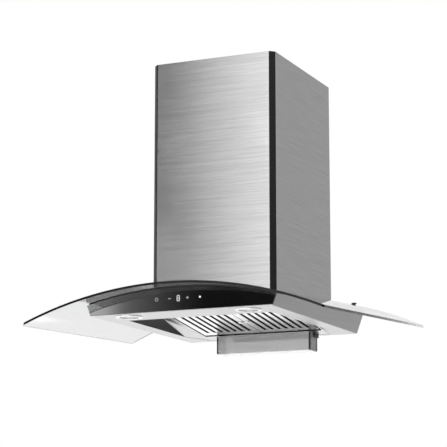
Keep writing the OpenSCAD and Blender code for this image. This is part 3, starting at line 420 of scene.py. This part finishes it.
def glass_look():
    look, tree, sockets = new_look("canopy_glass")
    sockets["Transmission Weight"].default_value = 1
    sockets["IOR"].default_value = GLASS_IOR
    place = on_object(tree)
    at = axes(tree, place)
    # The front edge is painted black as painted shade, seen from outside only; from within it lets light
    # out
    within = tree.nodes.new("ShaderNodeNewGeometry").outputs["Backfacing"]
    outside = math_node(tree, "SUBTRACT", 1, within)
    edge = math_node(tree, "MULTIPLY", ramp(tree, at["Y"], *FRONT_EDGE_Y, 1, 0), outside)
    tint = mix(tree, noise(tree, place, TINT_SCALE).outputs["Fac"], *GLASS_TINT)
    # A dark grey painted over the left of the touch front, fading to the right: a painted reflection of
    # the touch front in the glass.
    over_front = math_node(tree, "MULTIPLY", ramp(tree, at["Y"], *PAINTED_REFLECTION_REAR_Y, 1, 0),
                           ramp(tree, at["X"], *PAINTED_REFLECTION_LEFT_X, 0, 1))
    painted_reflection = math_node(tree, "MULTIPLY", over_front, ramp(tree, at["X"], *PAINTED_REFLECTION_RIGHT_X, PAINTED_REFLECTION_SHARE, 0.0))
    glass_with_painted_reflection = mix(tree, painted_reflection, tint, grey(PAINTED_REFLECTION_GREY))
    feed(tree, mix(tree, edge, glass_with_painted_reflection, grey(0)), sockets["Base Color"])
    across = math_node(tree, "ABSOLUTE", at["X"])
    slant = math_node(tree, "MULTIPLY", at["Y"], GLASS_TAPER)
    side_edge = ramp(tree, math_node(tree, "SUBTRACT", across, slant), *SIDE_EDGE_X, 0, 1)
    ground = math_node(tree, "MAXIMUM", math_node(tree, "MULTIPLY", edge, FRONT_EDGE_ROUGH),
                       math_node(tree, "MULTIPLY", side_edge, SIDE_EDGE_ROUGH))
    feed(tree, ground, sockets["Roughness"])
    return look


dress(glass_look(), "glass_canopy")
dress(plain("seal_rubber", (0.02, 0.02, 0.02), 0.7), "glass_seal", "glass_pads")
black_plastic = plain("black_plastic", (0.018, 0.018, 0.018), 0.42)
dress(black_plastic, "glass_bolts", "cup_magnets", "mains_gland")


# Touch front: black glass that stands upright across the front of the body,
# with a segment figure and a row of sprung sensor pads on a board behind it.
dress(plain("touch_black", (0.002, 0.002, 0.002), 0.05, specular=1.0), "touch_panel")
dress(plain("board_green", (0.02, 0.12, 0.05), 0.5), "touch_board", "power_board")
dress(plain("pad_metal", (0.75, 0.6, 0.3), 0.35, metallic=1), "touch_sensors")
pale_plastic = plain("pale_plastic", (0.8, 0.8, 0.78), 0.5)
dress(pale_plastic, "display_module", "control_box", "control_lid", "capacitor")


# Signs on the touch front: on and off, less, the figure, more and the light.
# Each is a thin lit print that lies on the face of the black glass.
PANEL_Y = -0.413
SIGN_Z = -0.1715
SIGN_T = 0.0002
# Share of a sign's thickness by which its middle stands off the glass
SIGN_PROUD = 0.6
SIGN_ROUGH = 0.6
PRINT_SCALE = 900
BAR_L = 0.0052
BAR_W = 0.0011
POWER_X, LESS_X, FIGURE_X, MORE_X, LAMP_X = -0.0427, -0.0182, -0.0017, 0.0154, 0.0389
FAINT, LIT, BRIGHT = 0.12, 0.42, 0.85


def sign_look(name, level):
    look, tree, sockets = new_look(name)
    sockets["Base Color"].default_value = grey(0.5)
    sockets["Roughness"].default_value = SIGN_ROUGH
    sockets["Emission Strength"].default_value = level
    grain = noise(tree, on_object(tree), PRINT_SCALE).outputs["Fac"]
    feed(tree, mix(tree, grain, grey(0.90), grey(1)), sockets["Emission Color"])
    return look


def add_bar(bm, size, middle, turn=0.0):
    made = bmesh.ops.create_cube(bm, size=1)["verts"]
    bmesh.ops.scale(bm, verts=made, vec=size)
    bmesh.ops.rotate(bm, verts=made, cent=(0, 0, 0), matrix=Matrix.Rotation(turn, 3, "Z"))
    bmesh.ops.translate(bm, verts=made, vec=middle)


# A ring with a gap, made of short bars that overlap a little
def add_arc(bm, radius, width, start, sweep, steps):
    overlap = 1.12
    length = overlap * radius * sweep / steps
    for step in range(steps):
        angle = start + sweep * (step + 0.5) / steps
        middle = (radius * math.cos(angle), radius * math.sin(angle), 0)
        add_bar(bm, (length, width, SIGN_T), middle, angle + math.pi / 2)


def place_sign(name, bm, x, look):
    upright = Matrix.Rotation(math.pi / 2, 3, "X")
    bmesh.ops.rotate(bm, verts=bm.verts, cent=(0, 0, 0), matrix=upright)
    bmesh.ops.translate(bm, verts=bm.verts, vec=(x, PANEL_Y - SIGN_PROUD * SIGN_T, SIGN_Z))
    sign = add_object(name, bm, look)
    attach(sign, "hood")


faint_sign = sign_look("faint_sign", FAINT)
lit_sign = sign_look("lit_sign", LIT)
bright_sign = sign_look("bright_sign", BRIGHT)

# A broken ring with a stroke through its gap
POWER_R = 0.0028
POWER_LINE = 0.0008
RING_START = math.radians(125)
RING_SWEEP = math.radians(290)
RING_STEPS = 20
STROKE_L = 0.0030
STROKE_UP = 0.0022
power = bmesh.new()
add_arc(power, POWER_R, POWER_LINE, RING_START, RING_SWEEP, RING_STEPS)
add_bar(power, (POWER_LINE, STROKE_L, SIGN_T), (0, STROKE_UP, 0))
place_sign("sign_power", power, POWER_X, faint_sign)

less = bmesh.new()
add_bar(less, (BAR_L, BAR_W, SIGN_T), (0, 0, 0))
place_sign("sign_less", less, LESS_X, faint_sign)

more = bmesh.new()
add_bar(more, (BAR_L, BAR_W, SIGN_T), (0, 0, 0))
add_bar(more, (BAR_W, BAR_L, SIGN_T), (0, 0, 0))
place_sign("sign_more", more, MORE_X, faint_sign)

# Seven segments, placed by half the figure's width and a quarter of its height
SEGMENT_L = 0.0040
SEGMENT_W = 0.0013
HALF_WIDTH = 0.0022
QUARTER_HEIGHT = 0.0023
figure = bmesh.new()
add_bar(figure, (SEGMENT_L, BAR_W, SIGN_T), (0, 0, 0))
for rise in (-1, 1):
    add_bar(figure, (SEGMENT_L, SEGMENT_W, SIGN_T), (0, rise * 2 * QUARTER_HEIGHT, 0))
    for hand in (-1, 1):
        add_bar(figure, (SEGMENT_W, SEGMENT_L, SIGN_T), (hand * HALF_WIDTH, rise * QUARTER_HEIGHT, 0))
place_sign("sign_figure", figure, FIGURE_X, lit_sign)

LAMP_R = 0.0017
LAMP_SIDES = 24
lamp_sign = bmesh.new()
bmesh.ops.create_cone(lamp_sign, cap_ends=True, segments=LAMP_SIDES,
                      radius1=LAMP_R, radius2=LAMP_R, depth=SIGN_T)
place_sign("sign_lamp", lamp_sign, LAMP_X, bright_sign)


# Lamps: satin metal rings that clip into the pan, each with a frosted disc and
# a light module on a finned sink behind it.
ring_metal = plain("ring_metal", (0.72, 0.72, 0.72), 0.28, metallic=1)
dress(ring_metal, "lamp_ring_left", "lamp_ring_right", "filter_pull_left", "filter_pull_right")
dress(plain("frosted_disc", (0.82, 0.82, 0.80), 0.35), "lamp_lens_left", "lamp_lens_right")
sink_grey = plain("sink_grey", (0.45, 0.45, 0.46), 0.45, metallic=1)
dress(sink_grey, "lamp_module_left", "lamp_module_right")


# Filters: bright folded sheet, two rows of interlocking channels in a frame.
# The upper row, in the dark behind the slots, is painted near black as painted shade.
FILTER_GRAIN = (700, 6, 700)
filter_steel = steel("filter_steel", FILTER_GRAIN, 0.66, 0.72, 0.28, anisotropy=0)
painted_shade_steel = steel("painted_shade_steel", FILTER_GRAIN, 0.03, 0.05, 0.5, anisotropy=0)
for hand in ("left", "right"):
    dress(filter_steel, "filter_frame_" + hand, "filter_lower_" + hand, "filter_catch_" + hand)
    dress(painted_shade_steel, "filter_upper_" + hand)


# Filter gap shadow: a thin strip painted near black in the gap all round the pair
# of filters, a painted shadow that draws their outline on the bright pan. It slopes
# as they do.
FILTER_SLOPE = math.radians(7.125)
SLOPE_FOOT = (0, -0.0128, -0.193)
GAP_SHADOW_W = 0.0016
GAP_SHADOW_T = 0.0006
REAR_GAP_SHADOW_T = 0.0012
GAP_SHADOW_DROP = 0.00004
SIDE_GAP_SHADOW_X = 0.11745
REAR_GAP_SHADOW_AT = 0.0370
FRONT_GAP_SHADOW_AT = 0.2385
GAP_SHADOW_L = FRONT_GAP_SHADOW_AT - REAR_GAP_SHADOW_AT
GAP_SHADOW_ACROSS = 2 * SIDE_GAP_SHADOW_X - GAP_SHADOW_W
# Painted shadow strips in the gap round the filters.
gap_shadow_strips = bmesh.new()
for x, along, width, length, thick in (
        (-SIDE_GAP_SHADOW_X, REAR_GAP_SHADOW_AT + GAP_SHADOW_L / 2, GAP_SHADOW_W, GAP_SHADOW_L + GAP_SHADOW_W, GAP_SHADOW_T),
        (SIDE_GAP_SHADOW_X, REAR_GAP_SHADOW_AT + GAP_SHADOW_L / 2, GAP_SHADOW_W, GAP_SHADOW_L + GAP_SHADOW_W, GAP_SHADOW_T),
        (0, REAR_GAP_SHADOW_AT, GAP_SHADOW_ACROSS, GAP_SHADOW_W, REAR_GAP_SHADOW_T),
        (0, FRONT_GAP_SHADOW_AT, GAP_SHADOW_ACROSS, GAP_SHADOW_W, GAP_SHADOW_T)):
    add_bar(gap_shadow_strips, (width, length, thick), (x, -along, -GAP_SHADOW_DROP - thick / 2))
bmesh.ops.rotate(gap_shadow_strips, verts=gap_shadow_strips.verts, cent=(0, 0, 0), matrix=Matrix.Rotation(-FILTER_SLOPE, 3, "X"))
bmesh.ops.translate(gap_shadow_strips, verts=gap_shadow_strips.verts, vec=SLOPE_FOOT)
gap_shadow_black = plain("gap_shadow_black", (0.006, 0.006, 0.006), 0.9, specular=0.03)
filter_gap_shadow = add_object("filter_gap_shadow", gap_shadow_strips, gap_shadow_black)
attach(filter_gap_shadow, "hood")


# Oil cup: a trough of clear plastic with a plate on each end and a black magnet
# block beside each. The plates are painted dark along their upright edges, as
# painted shade for the dark look of clear edges.
CUP_PASSES = 0.66
CUP_IOR = 1.45
CUP_SCALE = 30
CUP_ROUGH = (0.12, 0.18)
CUP_MIDDLE = -0.0285
# Distance from the middle at which an end plate is painted dark, as painted shade
PLATE_EDGE = (0.0130, 0.0145)
PLATE_PAINTED_SHADE = 0.02


def cup_look(name, dark, light, edge_shade_share=0.0):
    look, tree, sockets = new_look(name)
    sockets["Transmission Weight"].default_value = CUP_PASSES
    sockets["IOR"].default_value = CUP_IOR
    place = on_object(tree)
    cloud = noise(tree, place, CUP_SCALE).outputs["Fac"]
    tint = mix(tree, cloud, grey(dark), grey(light))
    off_middle = math_node(tree, "SUBTRACT", axes(tree, place)["Y"], CUP_MIDDLE)
    painted_edge_shade = ramp(tree, math_node(tree, "ABSOLUTE", off_middle), *PLATE_EDGE, 0.0, edge_shade_share)
    feed(tree, mix(tree, painted_edge_shade, tint, grey(PLATE_PAINTED_SHADE)), sockets["Base Color"])
    feed(tree, ramp(tree, cloud, *NOISE_SPAN, *CUP_ROUGH), sockets["Roughness"])
    return look


dress(cup_look("cup_clear", 0.90, 0.94), "oil_cup")
dress(cup_look("cup_end_clear", 0.46, 0.54, edge_shade_share=0.9), "cup_ends")


# Blower, rail and brackets inside: zinc-plated sheet and screws, a moulded
# wheel and collar, a cast motor and light metal flaps.
ZINC_GRAIN = (60, 60, 60)
zinc = steel("zinc_sheet", ZINC_GRAIN, 0.55, 0.68, 0.42, anisotropy=0)
dress(zinc, "cup_rail", "ceiling_bracket", "chimney_clips", "chassis")
dress(zinc, "volute", "volute_cover", "motor_bracket")
dress(zinc, "chassis_screws", "collar_screws", "bracket_screws", "cover_screws")
dress(plain("wheel_grey", (0.06, 0.06, 0.065), 0.55), "blower_wheel")
dress(plain("motor_cast", (0.35, 0.35, 0.36), 0.5, metallic=1), "motor")
dress(plain("ground_steel", (0.6, 0.6, 0.6), 0.2, metallic=1), "motor_shaft", "damper_pin")
dress(plain("collar_black", (0.03, 0.03, 0.032), 0.5), "outlet_collar")
dress(plain("flap_metal", (0.62, 0.62, 0.63), 0.38, metallic=1), "damper_front", "damper_rear")
